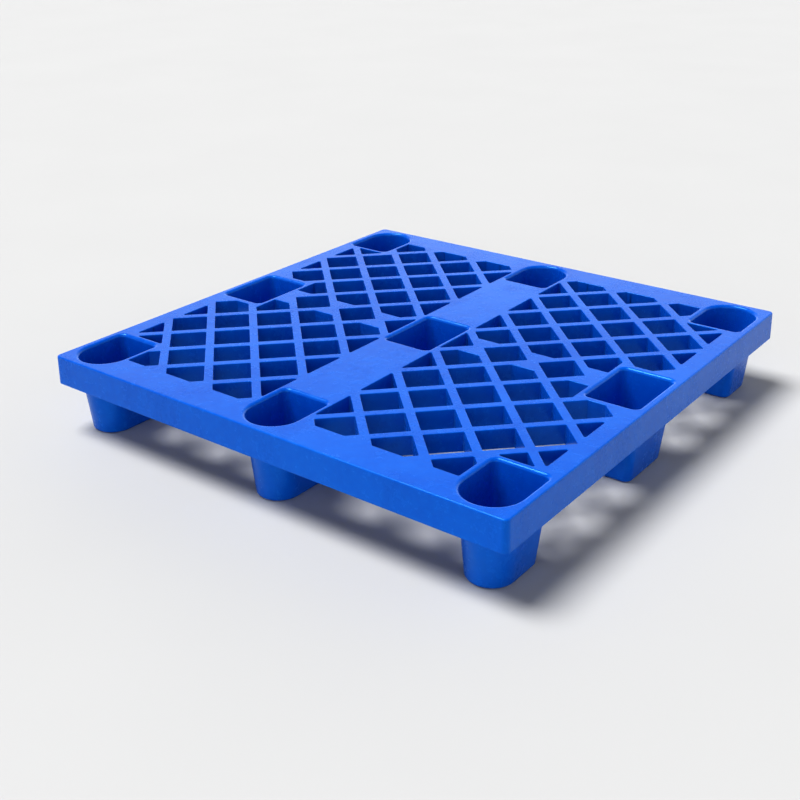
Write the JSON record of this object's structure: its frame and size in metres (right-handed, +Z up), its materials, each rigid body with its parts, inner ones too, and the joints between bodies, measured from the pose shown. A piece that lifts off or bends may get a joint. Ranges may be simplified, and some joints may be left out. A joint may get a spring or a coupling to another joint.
{
  "type": "plastic pallet",
  "caption": "Square nestable plastic pallet with an open diamond grid deck, a solid centre band, a skirt all round and hollow cup legs.",
  "frame": {"origin": "on the floor under the middle of the pallet", "axes": "+Z up; -Y is the front side and +X the right side; the solid centre band runs along Y"},
  "size_m": [1, 1, 0.15],
  "materials": {
    "pallet_plastic": "satin moulded polyethylene, blue"
  },
  "bodies": {
    "root": {"back_centre_band": "pallet_plastic", "back_centre_leg": "pallet_plastic", "back_left_grid_panel": "pallet_plastic", "back_left_leg": "pallet_plastic", "back_rail_left_half": "pallet_plastic", "back_rail_right_half": "pallet_plastic", "back_right_grid_panel": "pallet_plastic", "back_right_leg": "pallet_plastic", "back_skirt": "pallet_plastic", "front_centre_band": "pallet_plastic", "front_centre_leg": "pallet_plastic", "front_left_grid_panel": "pallet_plastic", "front_left_leg": "pallet_plastic", "front_rail_left_half": "pallet_plastic", "front_rail_right_half": "pallet_plastic", "front_right_grid_panel": "pallet_plastic", "front_right_leg": "pallet_plastic", "front_skirt": "pallet_plastic", "left_cross_band": "pallet_plastic", "left_rail_back_half": "pallet_plastic", "left_rail_front_half": "pallet_plastic", "left_skirt": "pallet_plastic", "middle_centre_leg": "pallet_plastic", "middle_left_leg": "pallet_plastic", "middle_right_leg": "pallet_plastic", "right_cross_band": "pallet_plastic", "right_rail_back_half": "pallet_plastic", "right_rail_front_half": "pallet_plastic", "right_skirt": "pallet_plastic"}
  },
  "joints": []
}
